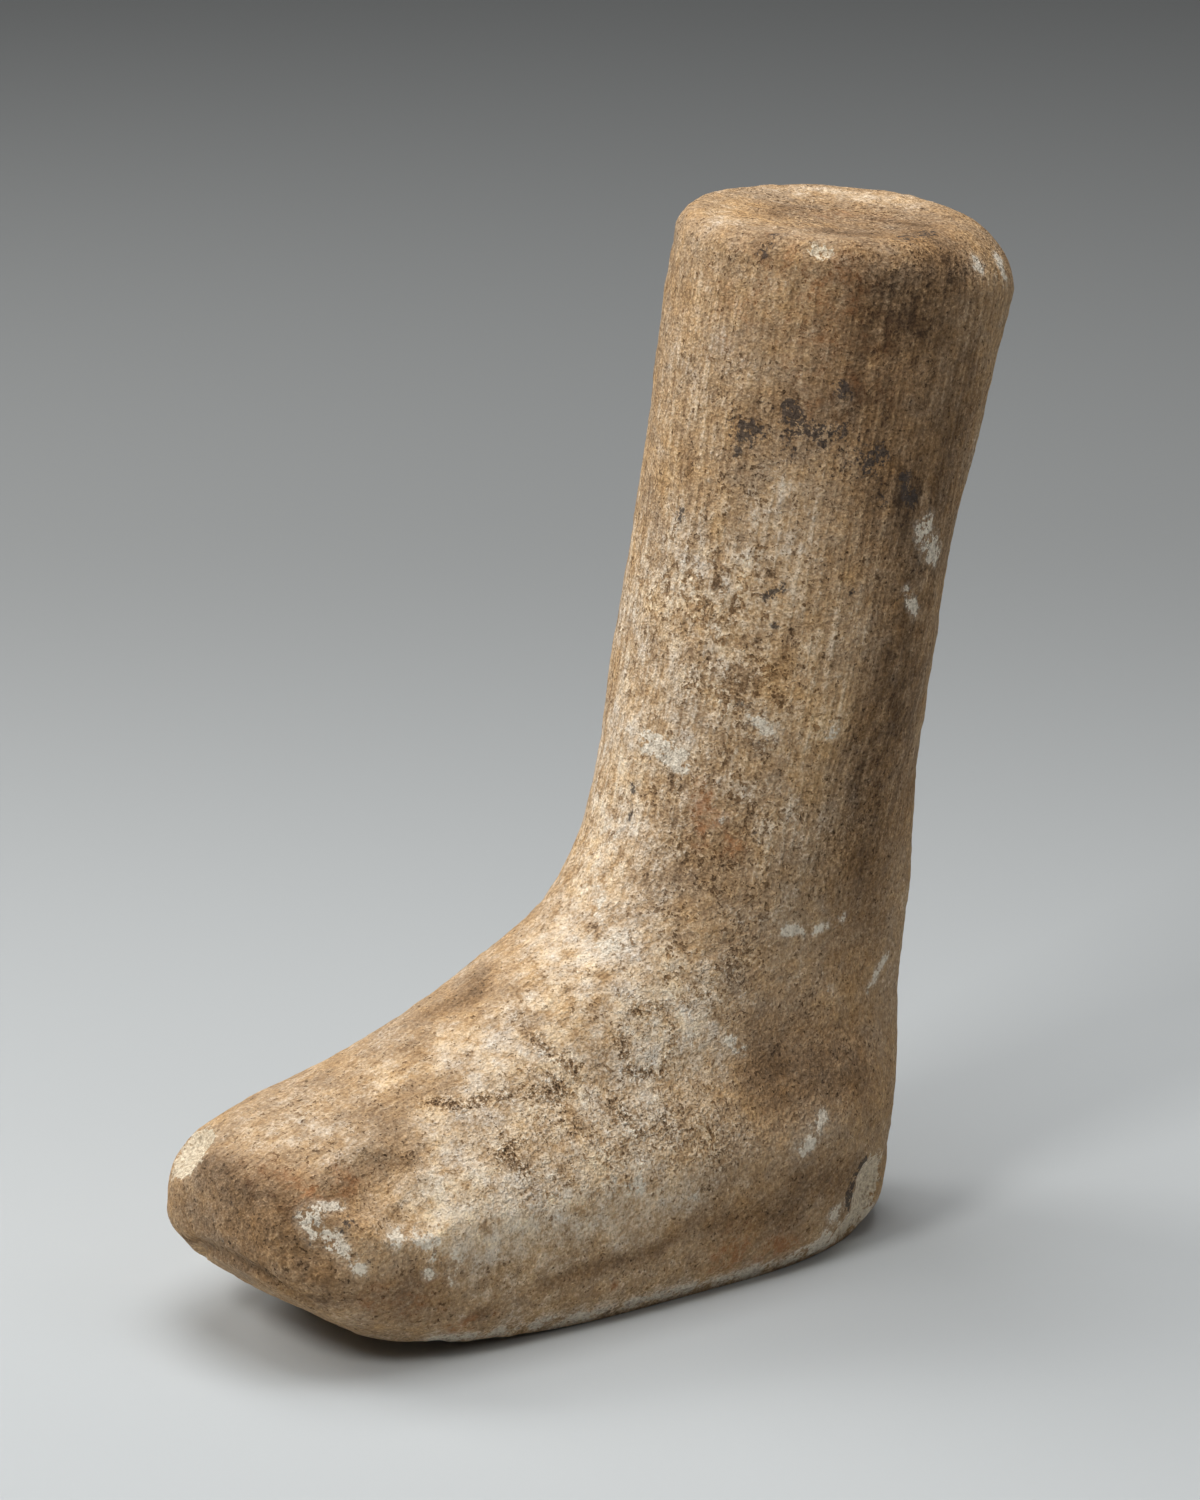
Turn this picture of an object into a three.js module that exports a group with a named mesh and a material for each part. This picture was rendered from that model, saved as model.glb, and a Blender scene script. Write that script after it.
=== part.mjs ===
// A votive lower leg with its foot, carved from one block of limestone.
// Millimetres, +Z up, toes toward -Y, origin on the ground under the middle of the whole leg.
// The skin is a stack of closed outlines, one at each height, so every form is a curve over height.

import * as THREE from 'three';

// Overall size
const HEIGHT = 265; // the shaft's top, at its middle
const COLUMNS = 64; // facets round each outline

// Front, back, half width and widest place of the outline, as [height, value] along the leg
const FRONT = [
  [0, -96.5], [8, -106], [18, -115.5], [30, -122], [41, -120.5], [47, -118.5], [52, -110], [62, -78], [76, -42],
  [92, -11], [112, 3], [150, 13], [200, 22], [265, 32],
];
const BACK = [[0, 77], [8, 82], [30, 83], [60, 88], [95, 92.5], [130, 93], [170, 97], [210, 109], [265, 127]];
const HALF_WIDTH = [
  [0, 38], [10, 44], [36, 47], [48, 43.5], [62, 37], [88, 34], [115, 35.5], [160, 40.5], [265, 42],
];
const WIDEST = [[0, 14], [60, 22], [110, 38], [170, 54], [265, 78]];

// Squareness of the outline: 2 is an ellipse, more is boxier. The +X side is cut away above the toes
const SQUARE_FAR = [[0, 4.5], [40, 4.2], [55, 3.2], [70, 2.6], [110, 2.2], [265, 2]];
const SQUARE_NEAR = [[0, 4.5], [36, 4.3], [44, 3.4], [52, 2.4], [62, 2.1], [88, 2], [265, 2]];
const SQUARE_HEEL = [[0, 2.1], [80, 2.2], [265, 2]];

// Sole: flat behind SOLE_START, then curving up to the toe
const SOLE_START = -20;
const SOLE_RUN = 80;
const SOLE_RISE = 7;
const SOLE_FADE = 30;
const SOLE_MIDDLE = 10;

// Line cut round the toe above the sole, deepest in front and ending at both corners
const GROOVE_HEIGHT = 26.5;
const GROOVE_DROP = 6;
const GROOVE_SPAN = 22;
const GROOVE_MIDDLE = 4;
const GROOVE_DEPTH = 2.4;
const GROOVE_WIDTH = 3;
const GROOVE_BACK = -104;
const GROOVE_FADE = 8;

// Rounding of the top's edge, broader toward the calf, and the slope and dish of the top
const RIM_START = 225;
const RIM_RADIUS = 6;
const RIM_EXTRA = 12;
const RIM_TURN = 0.5;
const TOP_SLOPE_X = -0.03;
const TOP_SLOPE_Y = -0.04;
const TOP_DISH = 1.2;
const TOP_MIDDLE_Y = 78;

// Broken corners: a point on each break and the way it faces
const BREAK_REACH = 36;
const BREAKS = [
  { at: [-35, -108, 44], facing: [-0.62, -0.52, 0.59] },
  { at: [35, -110, 33], facing: [0.62, -0.72, 0.3] },
  { at: [40, 54, 8], facing: [0.72, 0.62, -0.3] },
];

// Chips: a place on the skin, the way it faces, the radius of the hollow and its depth
const CHIPS = [
  { at: [-20, -116, 46], facing: [-0.45, -0.6, 0.65], radius: 21, depth: 2.8 },
  { at: [30, -95, 47], facing: [0.5, -0.3, 0.81], radius: 30, depth: 2.4 },
  { at: [37, -90, 42], facing: [0.7, -0.2, 0.68], radius: 26, depth: 1.2 },
  { at: [36.5, 56, 12], facing: [0.88, 0.47, 0], radius: 22, depth: 2.4 },
  { at: [23, 75, 22], facing: [0.6, 0.8, 0], radius: 20, depth: 1.5 },
  { at: [37, 50, 6], facing: [0.75, 0.5, -0.45], radius: 26, depth: 2 },
  { at: [-32, 66, 16], facing: [-0.7, 0.6, -0.2], radius: 22, depth: 1.5 },
  { at: [-43, -60, 12], facing: [-0.9, 0, -0.3], radius: 14, depth: 1.2 },
];

// Heights of the rows of facets, closest where the form turns fastest
const ROWS = [
  ...span(0, 3, 2), ...span(3, 24, 6), ...span(24, 36, 5), ...span(36, 60, 7),
  ...span(60, 96, 7), ...span(96, RIM_START, 11),
];
const RIM_WALL_ROWS = 4;
const RIM_ROUND_ROWS = 5;
const CAP_RINGS = [0.66, 0.33];
const TURN_STEPS = 720; // fine steps that measure an outline's length

// Even heights, as many as count, from start up to but not including end
function span(start, end, count) {
  return Array.from({ length: count }, (_, i) => start + ((end - start) * i) / count);
}

// A curve through the keys with no overshoot: cubic pieces whose slopes are harmonic means
function along(keys, height) {
  const last = keys.length - 1;
  const h = Math.min(Math.max(height, keys[0][0]), keys[last][0]);
  let i = 0;
  while (i < last - 1 && h > keys[i + 1][0]) i += 1;
  const rise = (k) => (keys[k + 1][1] - keys[k][1]) / (keys[k + 1][0] - keys[k][0]);
  const slope = (k) => {
    if (k === 0) return rise(0);
    if (k === last) return rise(last - 1);
    const before = rise(k - 1);
    const after = rise(k);
    if (before * after <= 0) return 0;
    const runBefore = keys[k][0] - keys[k - 1][0];
    const runAfter = keys[k + 1][0] - keys[k][0];
    const weightBefore = 2 * runAfter + runBefore;
    const weightAfter = runAfter + 2 * runBefore;
    return (weightBefore + weightAfter) / (weightBefore / before + weightAfter / after);
  };
  const run = keys[i + 1][0] - keys[i][0];
  const t = (h - keys[i][0]) / run;
  const eased = t * t * (3 - 2 * t);
  const bend = t * (1 - t) * run;
  return (
    keys[i][1] * (1 - eased) + keys[i + 1][1] * eased
    + bend * ((1 - t) * slope(i) - t * slope(i + 1))
  );
}

// The outline at one height: turn 0 is at the back, a quarter turn is the +X side
function outline(height, turn) {
  const sin = Math.sin(turn);
  const cos = Math.cos(turn);
  const middle = along(WIDEST, height);
  const toe = sin > 0 ? SQUARE_NEAR : SQUARE_FAR;
  const power = along(cos < 0 ? toe : SQUARE_HEEL, height);
  const reach = cos < 0 ? middle - along(FRONT, height) : along(BACK, height) - middle;
  const size = (Math.abs(sin) ** power + Math.abs(cos) ** power) ** (-1 / power);
  return [along(HALF_WIDTH, height) * sin * size, middle + reach * cos * size];
}

// The turns that share the outline at one height into equal lengths
function evenTurns(height) {
  const steps = TURN_STEPS;
  const lengths = [0];
  let before = outline(height, 0);
  for (let i = 1; i <= steps; i += 1) {
    const here = outline(height, (2 * Math.PI * i) / steps);
    lengths.push(lengths[i - 1] + Math.hypot(here[0] - before[0], here[1] - before[1]));
    before = here;
  }
  let i = 0;
  return Array.from({ length: COLUMNS }, (_, column) => {
    const goal = (lengths[steps] * column) / COLUMNS;
    while (lengths[i + 1] <= goal) i += 1;
    const part = (goal - lengths[i]) / (lengths[i + 1] - lengths[i]);
    return (2 * Math.PI * (i + part)) / steps;
  });
}

// How far the sole stands off the ground at one place along the foot
function soleRise(y) {
  return SOLE_RISE * (Math.max(SOLE_START - y, 0) / SOLE_RUN) ** 2;
}

// Lifts the lowest part of the foot to the curve of its sole
function liftSole([x, y, z]) {
  return [x, y, z + soleRise(y) * Math.max(1 - z / SOLE_FADE, 0) ** 2];
}

// Sinks the line above the toe's sole
function cutGroove([x, y, z]) {
  const level = GROOVE_HEIGHT - GROOVE_DROP * ((x - GROOVE_MIDDLE) / GROOVE_SPAN) ** 4;
  const across = Math.max(1 - ((z - level) / GROOVE_WIDTH) ** 2, 0);
  const inFront = Math.min(Math.max((GROOVE_BACK - y) / GROOVE_FADE, 0), 1);
  return [x, y + GROOVE_DEPTH * across * inFront, z];
}

// Takes off what stands outside each break
function breakCorners(point) {
  const p = new THREE.Vector3(...point);
  for (const { at, facing } of BREAKS) {
    const out = new THREE.Vector3(...facing).normalize();
    const fromBreak = p.clone().sub(new THREE.Vector3(...at));
    if (fromBreak.length() > BREAK_REACH) continue;
    p.addScaledVector(out, -Math.max(fromBreak.dot(out), 0));
  }
  return [p.x, p.y, p.z];
}

// Hollows out each chip as part of a ball: a point inside the ball moves out onto its surface
function chip(point) {
  const p = new THREE.Vector3(...point);
  for (const { at, facing, radius, depth } of CHIPS) {
    const middle = new THREE.Vector3(...facing).setLength(radius - depth).add(new THREE.Vector3(...at));
    const away = p.clone().sub(middle);
    if (away.length() < radius) p.copy(middle).add(away.setLength(radius));
  }
  return [p.x, p.y, p.z];
}

function finished(point) {
  return chip(breakCorners(cutGroove(liftSole(point))));
}

// Radius of the top's rounded edge, from its least at the shin to its most near the calf
function rimRadius(turn) {
  const share = (1 + Math.cos(turn - RIM_TURN)) / 2;
  return RIM_RADIUS + RIM_EXTRA * share ** 2;
}

// The sloping plane of the top, before it is dished
function topHeight(x, y) {
  return HEIGHT + TOP_SLOPE_X * x + TOP_SLOPE_Y * (y - TOP_MIDDLE_Y);
}

// The wall of the leg, from the sole's edge up to where the rounding of the top begins
function wallRings() {
  const rings = ROWS.map((height) => (
    evenTurns(height).map((turn) => finished([...outline(height, turn), height]))
  ));
  const turns = evenTurns(HEIGHT);
  for (let row = 0; row <= RIM_WALL_ROWS; row += 1) {
    rings.push(turns.map((turn) => {
      const top = topHeight(...outline(HEIGHT, turn)) - rimRadius(turn);
      const height = RIM_START + ((top - RIM_START) * row) / RIM_WALL_ROWS;
      return [...outline(height, turn), height];
    }));
  }
  return rings;
}

// Quarter-round edge of the top, then the sloping, slightly dished face inside it
function topRings(wall) {
  const turns = evenTurns(HEIGHT);
  const toMiddle = ([x, y], inward) => {
    const share = 1 - inward / Math.hypot(x, y - TOP_MIDDLE_Y);
    return [x * share, TOP_MIDDLE_Y + (y - TOP_MIDDLE_Y) * share];
  };
  const rings = [];
  for (let row = 1; row <= RIM_ROUND_ROWS; row += 1) {
    const angle = (Math.PI / 2) * (row / RIM_ROUND_ROWS);
    rings.push(wall.map(([x, y, z], column) => {
      const radius = rimRadius(turns[column]);
      return [...toMiddle([x, y], radius * (1 - Math.cos(angle))), z + radius * Math.sin(angle)];
    }));
  }
  const edge = rings[rings.length - 1];
  for (const share of CAP_RINGS) {
    rings.push(edge.map(([x, y, z]) => {
      const flatX = x * share;
      const flatY = TOP_MIDDLE_Y + (y - TOP_MIDDLE_Y) * share;
      const edgeGap = (z - topHeight(x, y)) * share;
      return [flatX, flatY, topHeight(flatX, flatY) + edgeGap - TOP_DISH * (1 - share ** 2)];
    }));
  }
  return rings;
}

// The underside, from its middle out to the sole's edge
function soleRings(edge) {
  return [...CAP_RINGS].reverse().map((share) => edge.map(([x, y]) => {
    const inY = SOLE_MIDDLE + (y - SOLE_MIDDLE) * share;
    return [x * share, inY, soleRise(inY)];
  }));
}

// Joins the rings into one closed skin with a point at each end
function closedSkin(first, rings, last) {
  const points = [first, ...rings.flat(), last];
  const faces = [];
  const index = (ring, column) => 1 + ring * COLUMNS + (column % COLUMNS);
  for (let column = 0; column < COLUMNS; column += 1) {
    faces.push(0, index(0, column), index(0, column + 1));
    for (let ring = 0; ring < rings.length - 1; ring += 1) {
      const low = [index(ring, column), index(ring, column + 1)];
      const high = [index(ring + 1, column), index(ring + 1, column + 1)];
      faces.push(low[0], high[1], low[1]);
      faces.push(low[0], high[0], high[1]);
    }
    faces.push(points.length - 1, index(rings.length - 1, column + 1), index(rings.length - 1, column));
  }
  const geometry = new THREE.BufferGeometry();
  geometry.setAttribute('position', new THREE.Float32BufferAttribute(points.flat(), 3));
  geometry.setIndex(faces);
  geometry.computeVertexNormals();
  return geometry;
}

function stoneLeg() {
  const wall = wallRings();
  const top = topRings(wall[wall.length - 1]);
  const sole = soleRings(wall[0]);
  const topMiddle = [0, TOP_MIDDLE_Y, topHeight(0, TOP_MIDDLE_Y) - TOP_DISH];
  const geometry = closedSkin([0, SOLE_MIDDLE, 0], [...sole, ...wall, ...top], topMiddle);
  const limestone = new THREE.MeshStandardMaterial({ color: 0xa88d69, roughness: 0.92, metalness: 0 });
  const mesh = new THREE.Mesh(geometry, limestone);
  mesh.name = 'stone_leg';
  return mesh;
}

const group = new THREE.Group();
group.add(stoneLeg());

export default group;
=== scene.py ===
"""A votive lower leg with its foot, carved from one block of weathered limestone.

The stone is one closed skin: a stack of outlines worked out over the height of the leg, then carved with a
sole line, chipped and broken at its corners, and worn with hollows, pits and the marks of tools. Where the
skin is stained, crusted or freshly broken, and where shade is painted on it, is kept as numbers on its
points, which the limestone's material reads.
"""

import bpy
import numpy as np
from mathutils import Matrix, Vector


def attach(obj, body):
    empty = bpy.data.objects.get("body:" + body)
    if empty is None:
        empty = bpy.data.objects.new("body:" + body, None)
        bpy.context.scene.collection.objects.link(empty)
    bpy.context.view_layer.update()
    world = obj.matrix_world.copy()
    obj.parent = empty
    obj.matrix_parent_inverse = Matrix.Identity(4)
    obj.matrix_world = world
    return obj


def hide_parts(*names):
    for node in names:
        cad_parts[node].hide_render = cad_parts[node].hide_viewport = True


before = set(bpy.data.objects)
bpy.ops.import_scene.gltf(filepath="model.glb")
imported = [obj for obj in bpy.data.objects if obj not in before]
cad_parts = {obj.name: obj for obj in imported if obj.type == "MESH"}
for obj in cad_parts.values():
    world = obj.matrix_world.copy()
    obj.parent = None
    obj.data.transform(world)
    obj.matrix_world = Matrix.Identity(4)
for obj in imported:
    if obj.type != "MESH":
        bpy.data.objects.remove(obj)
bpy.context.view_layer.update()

# Units: the leg is worked out in millimetres, and its mesh is in metres
MM = 0.001

# Form of the leg, as [height, value] keys
HEIGHT = 265
FRONT = [
    [0, -96.5], [8, -106], [18, -115.5], [30, -122], [41, -120.5], [47, -118.5], [52, -110],
    [62, -78], [76, -42], [92, -11], [112, 3], [150, 13], [200, 22], [265, 32],
]
BACK = [[0, 77], [8, 82], [30, 83], [60, 88], [95, 92.5], [130, 93], [170, 97], [210, 109], [265, 127]]
HALF_WIDTH = [
    [0, 38], [10, 44], [36, 47], [48, 43.5], [62, 37], [88, 34], [115, 35.5], [160, 40.5], [265, 42],
]
WIDEST = [[0, 14], [60, 22], [110, 38], [170, 54], [265, 78]]

# Squareness of the outline: 2 is an ellipse, more is boxier. The +X side is cut away above the toes
SQUARE_FAR = [[0, 4.5], [40, 4.2], [55, 3.2], [70, 2.6], [110, 2.2], [265, 2]]
SQUARE_NEAR = [[0, 4.5], [36, 4.3], [44, 3.4], [52, 2.4], [62, 2.1], [88, 2], [265, 2]]
SQUARE_HEEL = [[0, 2.1], [80, 2.2], [265, 2]]

# Sole: flat behind SOLE_START, then curving up to the toe
SOLE_START = -20
SOLE_RUN = 80
SOLE_RISE = 7
SOLE_FADE = 30
SOLE_MIDDLE = 10

# Line cut round the toe above the sole
GROOVE_HEIGHT = 26.5
GROOVE_DROP = 6
GROOVE_SPAN = 22
GROOVE_MIDDLE = 4
GROOVE_DEPTH = 2.4
GROOVE_WIDTH = 3
GROOVE_BACK = -104
GROOVE_FADE = 8

# Rounded edge, slope and dish of the top
RIM_START = 225
RIM_RADIUS = 6
RIM_EXTRA = 12
RIM_TURN = 0.5
TOP_SLOPE_X = -0.03
TOP_SLOPE_Y = -0.04
TOP_DISH = 1.2
TOP_MIDDLE_Y = 78

# Broken corners: a point on each break and the way it faces
BREAK_REACH = 36
BREAKS = [
    ([-35, -108, 44], [-0.62, -0.52, 0.59]),
    ([35, -110, 33], [0.62, -0.72, 0.3]),
    ([40, 54, 8], [0.72, 0.62, -0.3]),
]

# Unevenness of the ground of breaks and chips
BREAK_ROUGHNESS = 0.6

# Chips: a place on the skin, the way it faces, the radius of the hollow, its depth and whether it is fresh
CHIPS = [
    ([-20, -116, 46], [-0.45, -0.6, 0.65], 21, 2.8, True),
    ([30, -95, 47], [0.5, -0.3, 0.81], 30, 2.4, False),
    ([37, -90, 42], [0.7, -0.2, 0.68], 26, 1.2, False),
    ([36.5, 56, 12], [0.88, 0.47, 0], 22, 2.4, True),
    ([23, 75, 22], [0.6, 0.8, 0], 20, 1.5, False),
    ([37, 50, 6], [0.75, 0.5, -0.45], 26, 2, True),
    ([36, 99, 250], [0.7, 0.5, 0.5], 9, 0.8, True),
    ([28, 46, 263], [0.3, -0.6, 0.7], 6, 0.7, True),
    ([-32, 66, 16], [-0.7, 0.6, -0.2], 22, 1.5, False),
    ([-43, -60, 12], [-0.9, 0, -0.3], 14, 1.2, False),
]

# Depth in a fresh chip of a point far outside every one
NOT_FRESH = -9.0

# Faint line along both sides above the sole, for the +X side
SIDE_LINE = [(40, -86, 16), (44, -67, 17), (45, -45, 18), (46, -20, 19), (46, 10, 22), (44, 36, 21)]
SIDE_LINE_DEPTH = 0.5
SIDE_LINE_WIDTH = 1.3

# Fineness of the skin
GAP = 1.25
FOOT_COLUMNS = 400
LEG_COLUMNS = 200
FOOT_TOP = 96

# Paths that several kinds of mark follow
SOLE_EDGE = [(35, -80, 5), (39, -64, 4), (40, -46, 3), (41, -18, 3), (41, 8, 2), (39, 34, 3), (36, 52, 4)]
LONG_SCRATCH = [(19, -70, 61), (24, -64, 60), (25, -58, 61), (29, -45, 61), (31, -40, 61)]
CROSS_SCRATCH = [(9, -37, 77), (14, -39, 74), (19, -39, 72), (23, -38, 69), (29, -33, 65)]
LOOPED_SCRATCH = [(28, -14, 76), (31, -6, 75), (34, -5, 69), (36, -10, 61), (34, -19, 62), (30, -19, 71)]
SHORT_SCRATCH = [(36, -60, 51), (39, -59, 49), (41, -57, 46)]

# Marks on the skin, as [reach, strength, place, place...]: see marked()
PALE = [
    # Top and shaft
    [6, 0.3, (-2, 40, 267), (-21, 52, 266)],
    [7, 0.35, (-30, 82, 265), (-20, 94, 264), (-6, 101, 263)],
    [5, 0.35, (42, 74, 246), (41, 73, 238)],
    [5, 0.25, (27, 32, 204)],
    [16, 0.3, (7, 20, 184), (25, 29, 190), (22, 25, 178)],
    [17, 0.4, (-10, 18, 170), (-7, 12, 145), (-12, 10, 128), (-7, 3, 109)],
    [13, 0.25, (19, 21, 170), (20, 18, 150), (27, 21, 146)],
    [8, 0.3, (39, 42, 171), (39, 41, 142)],
    [12, 0.25, (-12, 12, 120), (8, 8, 122), (30, 22, 120)],
    # Instep and foot
    [15, 0.4, (-4, -3, 101), (0, -14, 90), (14, -10, 88)],
    [14, 0.5, (16, -28, 79), (17, -47, 69), (8, -56, 69)],
    [6, 0.3, (4, -73, 63)],
    [10, 0.35, (29, -4, 81), (31, -10, 73), (33, 1, 74)],
    [14, 0.35, (35, -30, 58), (41, -34, 48), (38, 0, 66)],
    [18, 0.4, (32, -59, 55), (39, -79, 45), (43, -54, 44)],
    [9, 0.3, (42, -75, 43), (40, -86, 42), (36, -76, 48)],
    [13, 0.35, (46, -51, 31), (45, -74, 26), (47, -20, 32)],
    [9, 0.25, (4, -100, 56), (18, -97, 54)],
    [8, 0.2, (-14, -108, 53), (1, -107, 54)],
    [4, 0.5, *SOLE_EDGE],
    # Far side and back
    [16, 0.35, (-40, -50, 40), (-36, -30, 56)],
    [12, 0.4, (-45, 20, 30), (-44, 44, 24)],
    [18, 0.35, (-30, 88, 130), (-38, 70, 180)],
    [14, 0.3, (-41, 60, 240), (-36, 95, 235)],
    [12, 0.35, (10, 92, 60), (-12, 90, 90)],
]
# Brown patina, and painted shade up the shaft's shaded side and along the groove above the toe
BROWN_AND_SHADE = [
    # Top and shaft. The broad bands up the shaft's +X side are painted shade on its shaded side, over brown
    # patina
    [10, 0.5, (37, 54, 256), (41, 70, 254)],
    [24, 0.2, (0, 72, 265), (10, 90, 262)],
    [7, 0.4, (39, 78, 258), (24, 81, 263)],
    [9, 0.5, (39, 58, 246), (42, 71, 243)],
    [5, 0.55, (17, 38, 265)],
    [22, 0.2, (34, 55, 245), (40, 62, 220)],
    [5, 0.45, (14, 58, 265), (22, 66, 264)],
    [4, 0.4, (-8, 60, 266), (-14, 70, 266)],
    [4, 0.4, (6, 84, 263), (16, 88, 262)],
    [7, 0.4, (37, 51, 236), (38, 52, 226)],
    [8, 0.4, (21, 31, 220), (29, 38, 224), (36, 48, 225)],
    [5, 0.45, (16, 26, 208), (20, 28, 206)],
    [8, 0.5, (41, 56, 208), (41, 62, 201)],
    # This band and the next two: painted shade down the shaft's shaded +X side, over brown patina
    [16, 0.35, (41, 57, 195), (41, 57, 169), (38, 57, 140)],
    [20, 0.28, (40, 70, 240), (42, 70, 215), (41, 72, 180), (38, 70, 150), (36, 70, 110)],
    [11, 0.35, (37, 57, 134), (33, 57, 109), (37, 66, 160), (40, 80, 200), (40, 88, 230)],
    [5, 0.35, (8, 23, 199), (2, 23, 210)],
    [6, 0.35, (22, 13, 117), (28, 18, 115)],
    [12, 0.35, (33, 53, 99), (30, 62, 86)],
    [7, 0.2, (24, 11, 107), (33, 23, 103)],
    # Foot and heel
    [14, 0.35, (37, 25, 60), (36, 47, 58)],
    [1.8, 0.35, *LONG_SCRATCH],
    [1.6, 0.3, *CROSS_SCRATCH],
    [1.5, 0.3, *LOOPED_SCRATCH],
    [1.5, 0.3, *SHORT_SCRATCH],
    [9, 0.35, (41, 37, 52), (39, 18, 55), (40, 52, 48)],
    [6, 0.45, (46, 26, 27), (40, 46, 22)],
    [5, 0.45, (46, 0, 22), (45, 24, 18)],
    [2.5, 0.55, (44, -54, 16), (45, -37, 18), (45, -20, 18), (47, -8, 24)],
    [3.5, 0.7, (42, -72, 12)],
    [8, 0.45, (39, -100, 21), (42, -87, 19)],
    [6, 0.35, (43, -91, 28), (44, -80, 28)],
    [5, 0.45, (-10, -33, 79), (-5, -39, 77)],
    [5, 0.5, (-10, -50, 72), (-7, -43, 75)],
    [4, 0.35, (-3, -61, 68), (5, -63, 67)],
    [5, 0.4, (12, -72, 63), (16, -63, 64)],
    [6, 0.35, (18, -82, 57), (25, -83, 54)],
    # Toe
    [12, 0.35, (5, -119, 44), (20, -117, 42)],
    [13, 0.38, (-14, -121, 36), (5, -121, 33), (24, -118, 32)],
    [5, 0.4, (-8, -118, 47), (8, -118, 47), (20, -116, 46)],
    [9, 0.1, (28, -98, 47), (32, -89, 48), (36, -100, 40)],
    [5, 0.5, (33, -113, 30), (35, -110, 24)],
    [3.5, 0.55, (29, -85, 52), (24, -93, 52), (27, -102, 46)],
    # A thin dark line along the groove above the toe's sole: painted shade in the groove
    [1.8, 0.5, (-20, -118, 24), (-3, -120, 25), (14, -119, 26), (22, -116, 24), (31, -112, 22)],
    # Far side and back
    [12, 0.4, (-30, 60, 40), (-20, 84, 60)],
    [16, 0.4, (-38, 40, 225), (-30, 100, 215)],
    [16, 0.4, (0, 104, 190), (10, 118, 250)],
    [9, 0.45, (-45, -16, 34), (-44, 4, 46)],
    [6, 0.45, (-40, -70, 20), (-44, -40, 16), (-45, 0, 14)],
    [10, 0.4, (-35, 30, 104), (-34, 50, 90)],
]
CRUST = [
    # Top and shaft
    [1.7, 1.4, (29, 46, 263)],
    [3, 1, (37, 89, 256)],
    [3.6, 1.2, (31, 101, 254), (35, 100, 249)],
    [4, 1.6, (40, 70, 191), (40, 72, 187), (38, 75, 183)],
    [2.2, 1.1, (40, 64, 175), (39, 68, 169)],
    [3, 2.4, (3, 10, 137), (8, 11, 136), (14, 12, 133)],
    [3.5, 0.8, (28, 23, 150), (31, 25, 142)],
    [3.5, 0.7, (39, 41, 142)],
    [1.8, 1, (-1, 3, 112)],
    [1.8, 0.9, (26, 17, 120)],
    [1.8, 0.9, (31, 23, 115)],
    [3.5, 0.7, (-2, -2, 103), (11, -13, 89), (17, -9, 89)],
    [1.8, 1.1, (34, 30, 90), (33, 43, 88), (32, 51, 89)],
    [2, 0.9, (26, 73, 76), (29, 65, 70), (30, 61, 67)],
    # Foot and heel
    [2, 1, (34, 45, 71)],
    [2.2, 1, (36, 11, 66), (37, 14, 62)],
    [3, 1, (45, 34, 42), (46, 31, 37), (47, 26, 35)],
    [3.5, 0.9, (46, -33, 39), (47, -26, 37)],
    [3.5, 0.6, (46, -46, 30), (47, -38, 32)],
    [3, 0.7, (45, -81, 30), (43, -81, 22)],
    [3, 1.1, (41, -97, 37), (39, -93, 38), (42, -90, 36)],
    [3, 0.7, (43, -86, 33), (43, -88, 27)],
    [3.5, 0.7, (46, -10, 30)],
    [3.2, 1.5, (27, -113, 43), (29, -112, 40), (31, -111, 38)],
    [2.2, 1.3, (33, -110, 36), (36, -108, 34), (38, -106, 31)],
    [1.7, 1.2, (28, -108, 45), (28, -104, 44)],
    [1.2, 0.9, (-6, -120, 40), (2, -121, 31)],
    [3.5, 0.9, (41, 41, 14), (38, 48, 12)],
    [5, 1.1, (32, 61, 7), (33, 55, 5), (38, 44, 7), (39, 34, 5)],
    [3, 1.2, *SOLE_EDGE],
    # Far side and back
    [4, 0.8, (-35, 30, 128), (-37, 36, 140)],
    [3, 1, (-34, 84, 165), (-30, 88, 158)],
    [4, 0.9, (-20, 88, 90), (-10, 92, 104)],
    [3, 1.1, (-43, -60, 12), (-46, -30, 8), (-45, 10, 5)],
]
RUST = [
    # Top and shaft
    [5, 0.6, (22, 13, 117), (20, 14, 127), (28, 18, 114)],
    [26, 0.3, (15, 33, 248), (30, 42, 235)],
    [9, 0.2, (26, 40, 259), (32, 47, 259)],
    [9, 0.4, (-4, 74, 264), (0, 84, 263)],
    # Toe, foot and heel
    [7, 0.4, (25, -99, 50), (25, -105, 48)],
    [9, 0.3, (8, -113, 51), (20, -112, 48)],
    [3, 1, (40, -74, 9), (39, -78, 9), (41, -69, 10)],
    [6, 0.7, (44, 2, 10), (42, 27, 8)],
    [6, 0.5, (45, 8, 15)],
    [1.5, 0.9, (44, -32, 11)],
    [8, 0.4, (39, -100, 21), (42, -87, 19)],
    # Far side
    [10, 0.35, (-20, 84, 30)],
]
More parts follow.
